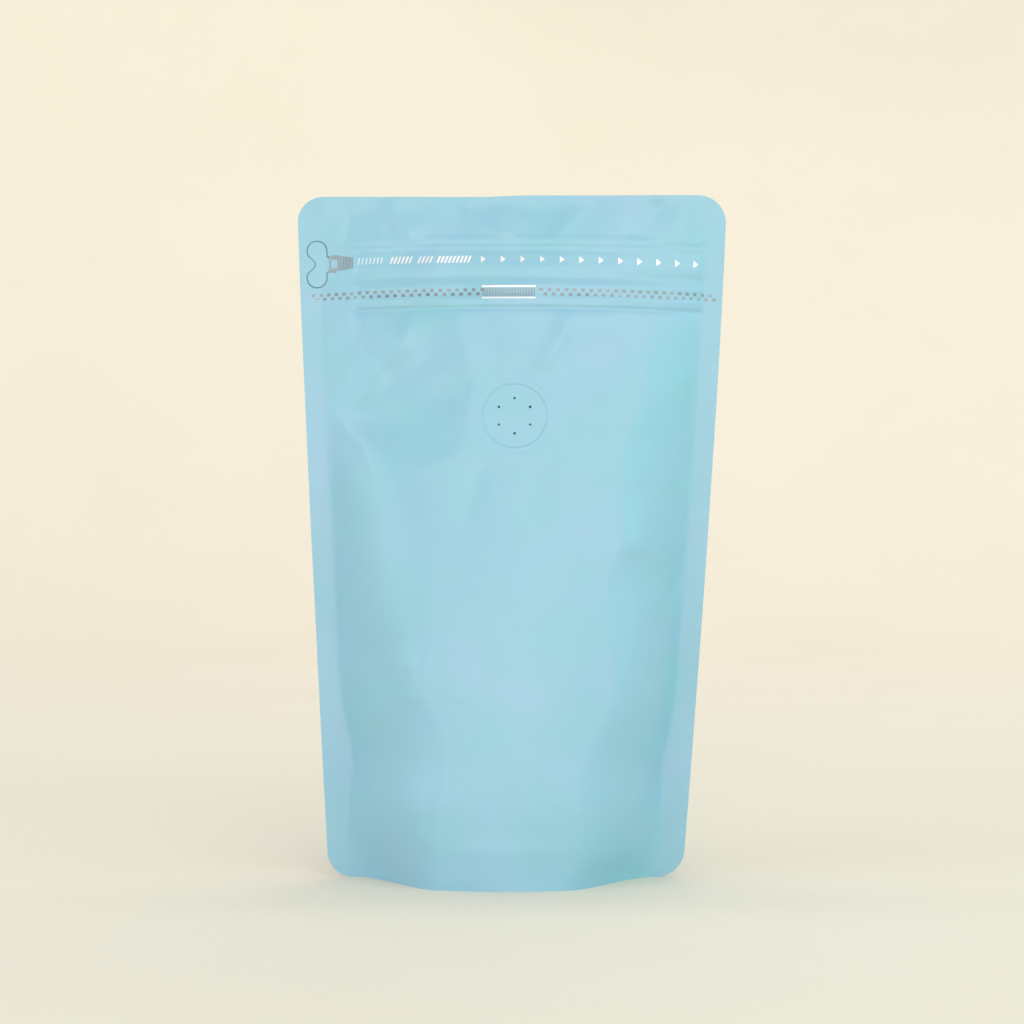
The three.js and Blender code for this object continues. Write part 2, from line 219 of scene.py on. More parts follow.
def rolledAluminiumFoil(foilColourOrShade, look):
    # Rolled foil under clear varnish, where the blue ink was left out: a soft mirror that ripples with the
    # zipper beneath it. Its darker grey copy is painted shade, standing for foil turned away from the light.
    material, tree, shader, place = newMaterial(foilColourOrShade + "AluminiumFoil")
    ripple = addNode(tree, "ShaderNodeTexNoise",
                     {"Vector": place, "Scale": 1 / (look["rippleSize"] * mm), "Detail": 1.0})
    relief = addNode(tree, "ShaderNodeBump",
                     {"Height": ripple, "Strength": 1.0, "Distance": look["rippleDepth"] * mm})
    gloss = addNode(tree, "ShaderNodeMapRange",
                    {"Value": ripple, **noiseRange, "To Min": look["glossiest"], "To Max": look["dullest"]})
    setInputs(tree, shader, {"Base Color": toLinear(look["colour"]), "Metallic": 1.0, "Roughness": gloss,
                             "Normal": relief})
    return material


def slitLaminateEdge(look):
    # The knife's cut through both films: a thin pale line in which ink, foil and sealant lie as fine layers.
    material, tree, shader, place = newMaterial("slitLaminateEdge")
    across = addNode(tree, "ShaderNodeSeparateXYZ", {"Vector": place}).outputs["Y"]
    turns = addNode(tree, "ShaderNodeMath", {0: across, 1: 2 * math.pi / (look["layer"] * mm)},
                    operation="MULTIPLY")
    wave = addNode(tree, "ShaderNodeMath", {0: turns}, operation="SINE")
    share = addNode(tree, "ShaderNodeMapRange", {"Value": wave, "From Min": -1.0})
    tint = addNode(tree, "ShaderNodeMix",
                   {0: share, 6: toLinear(look["colour"]), 7: toLinear(look["inkColour"])},
                   data_type="RGBA")
    setInputs(tree, shader, {"Base Color": tint.outputs[2], "Roughness": look["roughness"]})
    return material


def darkShadeSurface(name, look):
    # Dark, dull and faintly pebbled: painted shade for the tab's die cut and edges, and for the valve's
    # pinholes and the disc behind them.
    material, tree, shader, place = newMaterial(name)
    pebble = addNode(tree, "ShaderNodeTexNoise", {"Vector": place, "Scale": 1 / (look["pebbleSize"] * mm)})
    relief = addNode(tree, "ShaderNodeBump",
                     {"Height": pebble, "Strength": 1.0, "Distance": look["pebbleDepth"] * mm})
    setInputs(tree, shader, {"Base Color": toLinear(look["colour"]), "Roughness": look["roughness"],
                             "Normal": relief})
    return material


filmMaterial = matteBoppFilm(filmLook)
foilMaterials = {foilColourOrShade: rolledAluminiumFoil(foilColourOrShade, look) for foilColourOrShade, look in foilLooks.items()}
edgeMaterial = slitLaminateEdge(edgeLook)
cutShadeMaterial = darkShadeSurface("dieCutSealant", cutShadeLook)
coreShadeMaterial = darkShadeSurface("mouldedValveCore", coreShadeLook)
filmMaterials = [filmMaterial, edgeMaterial, cutShadeMaterial]
print("materials made")


# The pouch's outline and the depth of its panels. In pairs, -1 is the left side and 1 the right.
outline = {
    "topHalfWidth": 70, "footNarrowing": 12.4, "narrowingPower": 1.2,
    "lean": 2.1, "leanPower": 1.4,
    "topCorner": {-1: 8.5, 1: 9.5}, "footCorner": {-1: 7.8, 1: 8.2},
    "sideSeal": 6.2, "leastFlange": 0.8,
    "sealSwell": {-1: (40, 14, 2.8), 1: (34, 15, 2.6)},  # height, spread and amount where the gusset ends
    "filmHalf": 0.22,  # half of what the two sealed films measure
}
bellyForm = {
    "centre": [[0, 30.8], [9, 30.8], [22, 30.6], [46, 29.2], [80, 26.6], [123, 20.4], [151, 15.6], [189, 9.2],
               [207, 4.4], [222, 0.3]],
    "shoulder": {
        -1: [[0, 23.5], [20, 22.5], [46, 18.5], [80, 16.5], [110, 14.5], [126, 11.5], [140, 5.5], [152, 1],
             [165, 0], [222, 0]],
        1: [[0, 23.5], [20, 22.5], [46, 18.5], [80, 16], [102, 14.5], [110, 14.6], [123, 13], [135, 11.5],
            [148, 9.5], [161, 6.5], [174, 3], [190, 0.6], [205, 0], [222, 0]],
    },
    "shoulderWidth": {
        -1: [[0, 29], [12, 28.5], [34, 30], [50, 31], [62, 27], [74, 28.5], [90, 33], [110, 34], [123, 30],
             [132, 23], [142, 16.5], [152, 11], [222, 10]],
        1: [[0, 31], [12, 27], [33, 27], [46, 25], [60, 20.5], [85, 23.5], [98, 25], [110, 21], [123, 23],
            [135, 23], [148, 21], [161, 17], [180, 15], [222, 15]],
    },
    "shoulderPower": {  # near 1 the flank is one flat facet with a crisp inner fold
        -1: [[0, 1.5], [34, 1.7], [50, 1.8], [62, 1.4], [74, 1.5], [90, 2.2], [123, 2.4], [140, 1.8],
             [222, 1.8]],
        1: [[0, 1.5], [33, 1.8], [60, 1.8], [85, 1.9], [98, 1.8], [110, 1.4], [123, 1.7], [148, 1.5],
            [222, 1.6]],
    },
    "toe": 1.8,  # the film leaves its seal with a small bend
    "crownPower": 2, "softFoot": 30,
}
zipperBand = {
    "left": -52.3, "right": 62.9, "bottom": 185.2, "top": 205.3, "raise": 0.3, "soft": 0.5,
    "leftFade": 3, "rightFade": 2, "arch": 0.9, "archHalf": 64,
    "ridges": [  # height, amount and half width
        [207.2, 0.25, 1.2], [203.6, -0.26, 1.3], [198.2, 0.18, 1.6], [194.8, -0.34, 1.4], [191.7, 0.26, 1.2],
        [187.4, 0.3, 1.1], [184.4, -0.34, 0.9],
    ],
    "backShare": 0.4,  # the zipper's other half shows this much through the back
}


def centreLine(z):
    return -outline["lean"] * np.clip(1 - z / pouchHeight, 0, None) ** outline["leanPower"]


def halfWidth(z):
    taper = np.clip(1 - z / pouchHeight, 0, None) ** outline["narrowingPower"]
    return outline["topHalfWidth"] - outline["footNarrowing"] * taper


def cornerInset(side, z):
    def inset(radius, run):
        return radius - math.sqrt(max(0, radius ** 2 - max(0, run) ** 2))
    top, low = outline["topCorner"][side], outline["footCorner"][side]
    return inset(top, z - (pouchHeight - top)) + inset(low, low - z)


def sealWidth(side, z):
    height, spread, amount = outline["sealSwell"][side]
    return outline["sideSeal"] + amount * bump((z - height) / spread)


def insideSeal(x, z):  # the side, the distance in from its seal, and that distance at the middle
    offset = x - centreLine(z)
    reach = halfWidth(z) - np.where(offset < 0, sealWidth(-1, z), sealWidth(1, z))
    return np.where(offset < 0, -1, 1), reach - np.abs(offset), reach


def belly(x, z):
    side, depth, reach = insideSeal(x, z)
    depth = np.clip(depth, 0, None) ** 2 / (np.clip(depth, 0, None) + bellyForm["toe"])
    soft = ease(bellyForm["softFoot"], 0, z)

    def rise(q, power):
        q = np.clip(q, 0, 1)
        return (1 - (1 - q) ** power) * (1 - soft) + q * q * (3 - 2 * q) * soft

    def bothSides(stations):
        return np.where(side < 0, loft(stations[-1], z), loft(stations[1], z))
    shoulder = bothSides(bellyForm["shoulder"])
    crown = loft(bellyForm["centre"], z) - shoulder
    across = depth / bothSides(bellyForm["shoulderWidth"])
    return (shoulder * rise(across, bothSides(bellyForm["shoulderPower"]))
            + crown * rise(depth / reach, bellyForm["crownPower"]))


def bandRelief(x, z):
    band = zipperBand
    level = z + band["arch"] * (x / band["archHalf"]) ** 2
    soft = band["soft"]
    across = ease(band["left"], band["left"] + band["leftFade"], x)
    across *= ease(band["right"], band["right"] - band["rightFade"], x)
    tape = ease(band["bottom"] - soft, band["bottom"] + soft, level)
    tape *= ease(band["top"] + soft, band["top"] - soft, level)
    ridges = sum(amount * bump((level - height) / half) for height, amount, half in band["ridges"])
    return across * (band["raise"] * tape + ridges)


# Each crease is a path of (x, z) points, the widths of its slopes to the left and to the right of that path,
# and the amount by which it lifts the film, or presses it in below zero. Its own share for "ends" may follow.
sealCrease = ([(-38, 28), (-32, 18), (-23, 13.4), (0, 12.2), (23, 13.4), (32.5, 18), (38.5, 28)],
              (3, 4), 0.16, 0.12)
creaseForm = {
    "depth": 1.45,  # times each fold's amount
    "ends": 0.3,  # share of its length over which a fold runs out at either end
    "rounding": 0.25,  # share of a flank over which the fold's line is rounded
    "turn": 0.5,  # distance beside the line over which one flank's width becomes the other's
}
creases = {
    "header": [  # above the zipper both films move together
        ([(-43, 222), (-38, 215), (-34, 209), (-31, 204.5)], (9, 2), 0.75),
        ([(-17, 222), (-14.5, 215.5), (-9.7, 211.6), (-3.9, 209.3), (3, 209)], (8, 1.8), 0.75),
        ([(50.5, 222), (45, 214.5), (38.5, 205)], (8, 4), -0.6),
        ([(12, 208), (19.8, 214), (27, 221)], (7, 4), 0.45),
        ([(-53.5, 221), (-53, 213), (-55, 204)], (4, 2), -0.35),
        ([(60, 207.2), (69, 206)], (1.2, 1.2), 0.3),
    ],
    "front": [
        ([(-51.5, 186), (-49.5, 179), (-45, 171.5), (-39, 166)], (5, 2.2), 0.8),
        ([(-30.5, 187), (-33, 179), (-39, 168), (-48, 156), (-55, 149)], (5, 7), 1.1),
        ([(-18.2, 187), (-17.5, 177), (-14.5, 167), (-9, 160)], (5, 4), 0.5),
        ([(19, 186), (17, 176), (10.5, 167), (3, 162.5)], (3.2, 5), 0.85),
        ([(24, 185), (31, 178), (41, 171)], (5, 3), 0.45),
        ([(11, 160), (24, 164.5), (38, 169.5), (50, 176)], (5, 3), 0.45),
        ([(64, 171), (55, 163), (45, 154), (40, 138)], (8, 5), 0.35),
        ([(-60.5, 153), (-55, 148), (-48, 141), (-43.5, 128)], (4, 2.4), 0.5),
        ([(-11, 153.5), (-22, 156), (-38, 155)], (4, 4), -0.4),
        ([(-10, 142), (-20, 136), (-36, 131)], (5, 6), 0.6),
        ([(-6, 138), (-12, 128), (-15, 112)], (5, 4), -0.45),
        ([(5, 138), (8, 126), (8, 112)], (4, 5), -0.35),
        ([(10, 140), (20, 132), (33, 127)], (5, 3), 0.6),
        ([(13, 147), (25, 146), (40, 149)], (3, 3), -0.5),
        ([(12, 154), (24, 156.5), (38, 161)], (3, 3), 0.55),
        ([(33, 109), (42, 106.5), (55, 103)], (5, 3.4), 0.7),
        ([(57, 101), (53, 95), (48, 89)], (4, 3), -0.5),
        ([(38, 130), (46, 121), (56, 115)], (7, 5), -0.5),
        ([(-32.5, 76), (-31.5, 66), (-34, 54)], (5, 3.4), 0.4),
        ([(-49, 78), (-42, 67), (-40, 56)], (5, 4), -0.4),
        ([(-23, 62.4), (-17, 60.6), (-11, 59.4)], (0.9, 0.9), 0.2),
        sealCrease,
    ],
    "back": [
        ([(-26, 186), (-40, 170), (-52, 152)], (5, 4), -1.2),
        ([(-53, 162), (-45, 146), (-41, 128)], (3, 4), 1.1),
        ([(28, 186), (42, 168), (52, 148)], (4, 5), -1.2),
        ([(53, 156), (45, 138), (41, 120)], (4, 3), 1.1),
        ([(46, 98), (40, 84), (42, 70)], (3, 5), -1.5),
        ([(-48, 122), (-41, 108), (-43, 92)], (5, 3), -1.4),
        ([(10, 132), (-4, 120), (-24, 114)], (4, 7), 0.7),
        ([(-14, 186), (-6, 168), (-10, 146)], (3, 6), 0.7),
        sealCrease,
    ],
}


def creaseRelief(folds, x, z):
    form = creaseForm
    relief = np.zeros_like(x)
    for path, (left, right), amount, *ownEnds in folds:
        path = np.array(path, float)
        steps = np.diff(path, axis=0)
        lengths = np.hypot(*steps.T)
        starts = np.cumsum(lengths) - lengths
        nearest, signed, along = np.full(x.shape, np.inf), np.zeros_like(x), np.zeros_like(x)
        for (px, pz), (sx, sz), length, start in zip(path, steps / lengths[:, None], lengths, starts):
            run = np.clip((x - px) * sx + (z - pz) * sz, 0, length)
            dx, dz = x - px - run * sx, z - pz - run * sz
            distance = np.hypot(dx, dz)
            closer = distance < nearest
            nearest = np.where(closer, distance, nearest)
            signed = np.where(closer, sx * dz - sz * dx, signed)
            along = np.where(closer, start + run, along)
        share = along / lengths.sum()
        ends, turn = ownEnds[0] if ownEnds else form["ends"], form["turn"]
        width = left * ease(-turn, turn, signed) + right * ease(turn, -turn, signed)
        crest = form["rounding"] * width
        tent = np.exp(-(np.sqrt(nearest ** 2 + crest ** 2) - crest) / ((1 - form["rounding"]) * width))
        relief += form["depth"] * amount * tent * ease(0, ends, share) * ease(1, 1 - ends, share)
    return relief


rippleForm = {
    "front": {"amount": 0.12, "size": 34, "seed": 4}, "back": {"amount": 0.3, "size": 36, "seed": 11},
    "waves": 9, "spread": (0.7, 1.6),  # the waves' lengths, in sizes
    "fade": (2, 16),  # distances from the seal between which it grows
}
crumpleForm = {
    "front": {"amount": 0.3, "size": 19, "seed": 5, "rise": (100, 175)},
    "back": {"amount": 0.3, "size": 19, "seed": 8, "rise": (60, 150)},  # heights between which it grows
    "waves": 6, "spread": (0.7, 1.5),
    "wander": 3, "wanderSize": 1.3,  # how far its lines stray from straight, and over how many sizes
    "patch": (-0.2, 0.9), "patchMix": 0.3,  # it comes in patches
}
reliefFade = {"seal": 5, "foot": 4, "top": 5}  # distances from each over which the relief grows to its full


def slowRipple(panel, x, z):  # the soft unevenness of a filled film
    form, own = rippleForm, rippleForm[panel]
    random = np.random.default_rng(own["seed"])
    total = np.zeros_like(x)
    for _ in range(form["waves"]):
        angle, phase = random.uniform(0, 2 * math.pi, 2)
        turn = 2 * math.pi / (own["size"] * random.uniform(*form["spread"]))
        total += np.sin(turn * (x * math.cos(angle) + z * math.sin(angle)) + phase)
    ripple = own["amount"] * total / math.sqrt(form["waves"])
    return ripple * ease(*form["fade"], insideSeal(x, z)[1])


def crumple(panel, x, z):  # shallow facets with crisp lines between them, where the film was folded before
    form, own = crumpleForm, crumpleForm[panel]
    size, random = own["size"], np.random.default_rng(own["seed"])
    total = np.zeros_like(x)
    for _ in range(form["waves"]):
        angle, phase, place = random.uniform(0, 2 * math.pi, 3)
        turn = math.pi / (size * random.uniform(*form["spread"]))
        run = x * math.cos(angle) + z * math.sin(angle)
        across = z * math.cos(angle) - x * math.sin(angle)
        wander = form["wander"] * np.sin(across / (form["wanderSize"] * size) + place)
        patches = np.sin(across / size + 2 * place) + form["patchMix"] * np.sin(run / size + phase)
        lines = np.abs(np.sin(turn * (run + wander) + phase))
        total += random.choice((-1, 1)) * lines * ease(*form["patch"], patches)
    return own["amount"] * total * ease(*own["rise"], z)


def filled(x, z):  # 1 on the filled faces, 0 at the seals, the foot and the top edge
    low, high = ease(0, reliefFade["foot"], z), ease(pouchHeight, pouchHeight - reliefFade["top"], z)
    return ease(0, reliefFade["seal"], insideSeal(x, z)[1]) * low * high


def looseRelief(panel, x, z):  # folds, ripple and crumple of one panel
    relief = creaseRelief(creases[panel], x, z) + slowRipple(panel, x, z) + crumple(panel, x, z)
    return relief * filled(x, z)


valveForm = {
    "x": 0.8, "z": 149.6, "discRadius": 13.2, "thickness": 0.7, "proud": 0.03, "edgeAngle": 30,
    "flat": 14, "blend": 20.5,  # radii to which the film lies flat and from which it is loose
    "probe": 4.0,  # the film's slope is taken so far out from the middle
    "seatDepth": 1.5, "seatRim": (2.3, 3.5),  # it sinks between these distances in from the disc's edge
    "ringRadius": 10.3, "recess": 0.26, "recessSoft": 0.3, "grooveDepth": 0.1, "grooveHalf": 0.26,
    "outerFrom": 0.4,  # from so far outside the ring the disc slopes down under the film's face
    "holeCircle": 5.75, "holeRadii": (0.36, 0.43, 0.34, 0.38, 0.33, 0.38), "holeCut": (2.0, -3.0),
    "lipHeight": 0.05, "lipRadius": 0.75, "lipHalf": 0.2, "dipDepth": 0.1, "dipHalf": 0.5,  # round each hole
    # the core is a dark disc behind the pinholes, painted shade that darkens them
    "coreRadius": 7.6, "coreRim": 0.2, "coreRings": (2.0, 4.0), "coreFrom": 0.76, "coreTo": 1.2,
}


def frontLoose(x, z):
    return outline["filmHalf"] + belly(x, z) + looseRelief("front", x, z) + bandRelief(x, z)


def flatAtValve():  # the rigid valve keeps the film round it in one plane
    step = valveForm["probe"]
    x = valveForm["x"] + np.array([0, step, -step, 0, 0])
    z = valveForm["z"] + np.array([0, 0, 0, step, -step])
    middle, right, left, up, down = frontLoose(x, z)
    return middle, (right - left) / (2 * step), (up - down) / (2 * step)


valveDepth, valveSlopeX, valveSlopeZ = flatAtValve()


def frontDepth(x, z):
    distance = np.hypot(x - valveForm["x"], z - valveForm["z"])
    held = ease(valveForm["blend"], valveForm["flat"], distance)
    flat = valveDepth + valveSlopeX * (x - valveForm["x"]) + valveSlopeZ * (z - valveForm["z"])
    outer, inner = (valveForm["discRadius"] - rim for rim in valveForm["seatRim"])
    seat = valveForm["seatDepth"] * ease(outer, inner, distance)  # room for the disc
    return frontLoose(x, z) * (1 - held) + flat * held - seat


def backDepth(x, z):
    mirrored = 2 * centreLine(z) - x
    zipper = zipperBand["backShare"] * bandRelief(x, z)
    return outline["filmHalf"] + belly(mirrored, z) + looseRelief("back", x, z) + zipper


# Where nothing fills the pouch both films sway together, in the header and along the side seals.
swayForm = {
    "headerFrom": 196, "headerWaves": [(0.55, 14, 17.5), (0.3, -5, 8.3)],  # amount, shift and length
    "edge": 0.24, "edgeLength": 11.0, "edgeShift": {-1: 0.6, 1: 2.4},
    "edgeRise": (0, 30), "edgeFade": (3, -4),
    "foldRise": (201, 206), "foldFade": (-3, 4),
    "slant": 0.6, "slantFade": (6, -10), "slantFrom": 207,  # the top edge is cut this much lower on the left
}


def sheetSway(x, z):  # how far the films stand back
    form = swayForm
    waves = sum(amount * np.sin((x + shift) / length) for amount, shift, length in form["headerWaves"])
    side, depth, _ = insideSeal(x, z)
    shift = np.where(side < 0, form["edgeShift"][-1], form["edgeShift"][1])
    edge = ease(*form["edgeFade"], depth) * form["edge"] * np.sin(z / form["edgeLength"] + shift)
    folds = creaseRelief(creases["header"], x, z)
    folds *= ease(*form["foldRise"], z)
    folds *= ease(*form["foldFade"], depth)
    return ease(form["headerFrom"], pouchHeight, z) * waves + edge * ease(*form["edgeRise"], z) - folds


def swayPiece(piece):
    points = np.empty(len(piece.data.vertices) * 3)
    piece.data.vertices.foreach_get("co", points)
    points = points.reshape(-1, 3)
    x, z = points[:, 0] / mm, points[:, 2] / mm
    points[:, 1] += sheetSway(x, z) * mm
    slant = swayForm["slant"] * ease(*swayForm["slantFade"], x)
    points[:, 2] -= slant * ease(swayForm["slantFrom"], pouchHeight, z) * mm
    piece.data.vertices.foreach_set("co", points.ravel())
    piece.data.update()


# The film: front, back, slit edges, the mouth between the two films on top, and the gusset below.
filmMesh = {
    "flangeColumns": 7, "bellyColumns": 172, "gather": 0.5,
    "cornerRows": 15, "bodyStep": 1.5, "zipperStep": 0.36, "zipperZone": (183, 209.5), "headerStep": 1.0,
    "mouthDepth": 2.6, "mouthFade": 8, "lip": 0.24,
}
undersideForm = {
    # height of the gusset's web over the floor by distance in from the pouch's bottom edge
    "web": [[0, 0], [0.45, 0], [0.7, 2.6], [1.2, 5.8], [2.4, 7.0], [5, 6.2], [10, 4.4], [18, 3.3], [31, 2.9]],
    "distances": [0.45, 0.7, 1.2, 2.4, 5, 8, 12, 17, 23],
    "fold": 1.2, "foldWidth": 3.2, "foldFrom": 1,  # the gusset's middle crease
    "closedBelow": 2, "openAbove": 12,  # panel depths between which the foot closes at its two ends
    "endRise": 1.0, "endRiseAt": (24, 9),  # towards the ends the web climbs with its curved seal
}
pocketForm = {
    "x": -63.5, "z": 199.4, "lobe": 3.1, "lobeOffset": 4.35, "lobeTurn": 1.15, "notch": -0.4, "bend": 1,
    "neckHalf": 2.3, "neckEnd": 4, "gap": 0.3, "floor": -0.02, "cutFrom": -8,
}


def rowHeights():
    angles = np.linspace(0, math.pi / 2, filmMesh["cornerRows"] + 1)
    low, top = max(outline["footCorner"].values()), max(outline["topCorner"].values())
    start, end = filmMesh["zipperZone"]

    def steps(a, b, size):
        return np.linspace(a, b, round((b - a) / size) + 1)
    return np.concatenate([
        low * (1 - np.cos(angles)), steps(low, start, filmMesh["bodyStep"])[1:],
        steps(start, end, filmMesh["zipperStep"])[1:],
        steps(end, pouchHeight - top, filmMesh["headerStep"])[1:],
        pouchHeight - top + top * np.sin(angles)[1:],
    ])


def columnPlaces(z):
    edge = {side: halfWidth(z) - cornerInset(side, z) for side in (-1, 1)}
    seam = {side: min(halfWidth(z) - sealWidth(side, z), edge[side] - outline["leastFlange"])
            for side in (-1, 1)}
    flange = np.linspace(0, 1, filmMesh["flangeColumns"] + 1)
    even = np.linspace(0, 1, filmMesh["bellyColumns"] + 1)
    share = even + filmMesh["gather"] * ((1 - np.cos(math.pi * even)) / 2 - even)
    left = -edge[-1] + (edge[-1] - seam[-1]) * flange
    middle = -seam[-1] + (seam[-1] + seam[1]) * share
    right = seam[1] + (edge[1] - seam[1]) * flange
    return centreLine(z) + np.concatenate([left[:-1], middle, right[1:]])


def undersideLines(front, back):
    form = undersideForm
    middle, half = (front[:, 1] + back[:, 1]) / 2, (back[:, 1] - front[:, 1]) / 2
    rise = ease(form["closedBelow"], form["openAbove"], half)
    rise *= 1 + form["endRise"] * ease(*form["endRiseAt"], half)

    def line(side, distance):
        y = middle + side * (half - distance)
        fold = form["fold"] * np.exp(-np.abs(y) / form["foldWidth"]) * (distance > form["foldFrom"])
        return np.stack([front[:, 0], y, rise * (loft(form["web"], distance) + fold)], axis=1)
    count = len(form["distances"])
    inward = [np.minimum(distance, half * (k + 1) / (count + 1))
              for k, distance in enumerate(form["distances"])]
    fromFront = [line(-1, distance) for distance in inward]
    toBack = [line(1, distance) for distance in reversed(inward)]
    return fromFront + [line(0, half)] + toBack


def mouthLines(front, back):
    middle, half = (front + back) / 2, (back - front) / 2
    opened = ease(0, filmMesh["mouthFade"], insideSeal(front[:, 0], front[:, 2])[1])[:, None]
    gap = opened * half * half[:, 1:2] / (half[:, 1:2] + filmMesh["lip"])
    throat = middle - opened * np.array([0, 0, filmMesh["mouthDepth"]])
    return [middle - gap, throat, middle + gap]


def joinEnds(lines, front, back):  # at the flange's corners the lines run together into the two films' own
    lines = np.stack(lines)
    half = (len(lines) + 1) // 2
    for end in (0, -1):
        lines[:half, end] = front[end]
        lines[half:, end] = back[end]
    return lines


def makePouchFilm():
    rows = rowHeights()
    x = np.stack([columnPlaces(z) for z in rows])
    z = np.repeat(rows[:, None], x.shape[1], axis=1)
    front = np.stack([x, -frontDepth(x, z), z], axis=-1)
    back = np.stack([x, backDepth(x, z), z], axis=-1)
    blocks = [front, back, joinEnds(undersideLines(front[0], back[0]), front[0], back[0]),
              joinEnds(mouthLines(front[-1], back[-1]), front[-1], back[-1])]
    starts = np.cumsum([0] + [block.size // 3 for block in blocks])
    frontIds, backIds, underIds, mouthIds = (
        start + np.arange(block.size // 3).reshape(block.shape[:2]) for start, block in zip(starts, blocks))
    under = np.vstack([frontIds[:1], underIds, backIds[:1]])
    mouth = np.vstack([frontIds[-1:], mouthIds, backIds[-1:]])
    parts = [
        (gridFaces(frontIds), 0), (gridFaces(backIds, True), 0),
        (gridFaces(np.stack([frontIds[:, 0], backIds[:, 0]])), 1),
        (gridFaces(np.stack([frontIds[:, -1], backIds[:, -1]]), True), 1),
        (gridFaces(under[:2], True), 1), (gridFaces(under[1:-1], True), 0), (gridFaces(under[-2:], True), 1),
        (gridFaces(mouth), 1),
    ]
    faces = [face for quads, _ in parts for face in quads]
    kinds = [kind for quads, kind in parts for _ in quads]
    points = np.concatenate([block.reshape(-1, 3) for block in blocks])
    film = meshObject("pouch_film", points, faces, filmMaterials, kinds)
    closeUp(film)
    return film


def arcPoints(centre, radius, start, end, count=28):
    angles = np.linspace(start, end, count)
    return [(centre[0] + radius * math.cos(a), centre[1] + radius * math.sin(a)) for a in angles]


def bezierPoints(a, b, c, d, count=16):
    t = np.linspace(0, 1, count)[1:, None]
    a, b, c, d = (np.array(point) for point in (a, b, c, d))
    curve = (1 - t) ** 3 * a + 3 * (1 - t) ** 2 * t * b + 3 * (1 - t) * t * t * c + t ** 3 * d
    return [tuple(point) for point in curve]


# The tab has a straight right side with a neck in it, a lobe above and below, and a notch on the left.
def tabOutline(grow, neckEnd):
    form = pocketForm
    lobe, notch, bend = form["lobe"] + grow, form["notch"] - grow, form["bend"]
    lobeEnd = form["lobeTurn"] * math.pi
    endX, endZ = lobe * math.cos(lobeEnd), form["lobeOffset"] + lobe * math.sin(lobeEnd)
    neck = form["neckHalf"] + grow
    points = [(neckEnd, neck), (lobe, neck)]
    points += arcPoints((0, form["lobeOffset"]), lobe, 0, lobeEnd)
    points += bezierPoints((endX, endZ), (endX + bend, endZ - bend), (notch, bend), (notch, 0))
    points += bezierPoints((notch, 0), (notch, -bend), (endX + bend, bend - endZ), (endX, -endZ))
    points += arcPoints((0, -form["lobeOffset"]), lobe, -lobeEnd, 0)[1:]
    points += [(lobe, -neck), (neckEnd, -neck)]
    return [(form["x"] + x, form["z"] + z) for x, z in points]


def outlinePlate(name, points, front, rear, materials, sideMaterial, frontMaterial=0):
    count = len(points)
    corners = [(x, front, z) for x, z in points] + [(x, rear, z) for x, z in points]
    faces = [list(range(count)), list(range(2 * count - 1, count - 1, -1))]
    faces += [[i, i + count, (i + 1) % count + count, (i + 1) % count] for i in range(count)]
    faceMaterials = [frontMaterial] + [sideMaterial] * (count + 1)
    plate = meshObject(name, corners, faces, materials, faceMaterials)
    closeUp(plate)
    return plate


pouchFilm = makePouchFilm()
cutShadeKind = filmMaterials.index(cutShadeMaterial)
# the pocket's walls and floor take the cutter's dark blue-grey, which is painted shade in the die cut
tabPocket = outlinePlate("tab_pocket", tabOutline(pocketForm["gap"], pocketForm["neckEnd"]),
                         pocketForm["cutFrom"], pocketForm["floor"], filmMaterials, cutShadeKind, cutShadeKind)
cutAway(pouchFilm, tabPocket)
swayPiece(pouchFilm)
shadeSmooth(pouchFilm)
print("pouch film:", len(pouchFilm.data.polygons), "faces")


# The die-cut pull tab lies in its pocket and stands a little proud where its lobes have sprung forward.
tabForm = {
    "proud": 0.03, "thickness": 0.2, "neckOverlap": 0.05,
    "cuts": ((0, -68, -58), (2, 191, 208)), "cutStep": 0.7,  # axis and zone of the cuts that let it bend
    "spring": 0.2, "springFade": (3.5, -2), "springRise": (1, 7), "flushFade": (2.5, 3.8),
}


def makePullTab():
    form, centreX, centreZ = tabForm, pocketForm["x"], pocketForm["z"]
    face = -outline["filmHalf"] - form["proud"]
    # the tab's edges are the dark blue-grey of painted shade
    tab = outlinePlate("pull_tab_film", tabOutline(0, pocketForm["neckEnd"] + form["neckOverlap"]),
                       face, face + form["thickness"], [filmMaterial, cutShadeMaterial], 1)
    mesh = bmesh.new()
    mesh.from_mesh(tab.data)
    for axis, low, high in form["cuts"]:
        normal = Vector((0, 0, 0))
        normal[axis] = 1
        for place in np.arange(low, high, form["cutStep"]):
            point = Vector((0, 0, 0))
            point[axis] = place * mm
            bmesh.ops.bisect_plane(mesh, geom=mesh.verts[:] + mesh.edges[:] + mesh.faces[:],
                                   dist=weldDistance, plane_co=point, plane_no=normal)
    springFrom, springTo = (centreX + offset for offset in form["springFade"])
    flushFrom, flushTo = (centreX + offset for offset in form["flushFade"])
    for vertex in mesh.verts:
        x, z = vertex.co.x / mm, vertex.co.z / mm
        sprung = ease(springFrom, springTo, x) * ease(*form["springRise"], abs(z - centreZ))
        flush = form["proud"] * ease(flushFrom, flushTo, x)
        vertex.co.y += (flush - form["spring"] * sprung) * mm
    mesh.to_mesh(tab.data)
    mesh.free()
    swayPiece(tab)
    shadeSmooth(tab)
    return tab


pullTab = makePullTab()
print("pull tab made")


# The valve shows as a disc with a pressed ring and six pinholes. Behind them, where its core sits, a dark
# disc and the dark hole walls are painted shade.
valveMesh = {
    "segments": 168, "holeSegments": 16, "coreSegments": 48,
    # the rings' first and last radius and their step, close together at the pinholes and at the pressed ring
    "rings": [(0.5, 4.6, 0.45), (4.7, 6.9, 0.12), (7.1, 8.9, 0.4), (9.0, 11.5, 0.09), (11.6, 13.21, 0.2)],
}


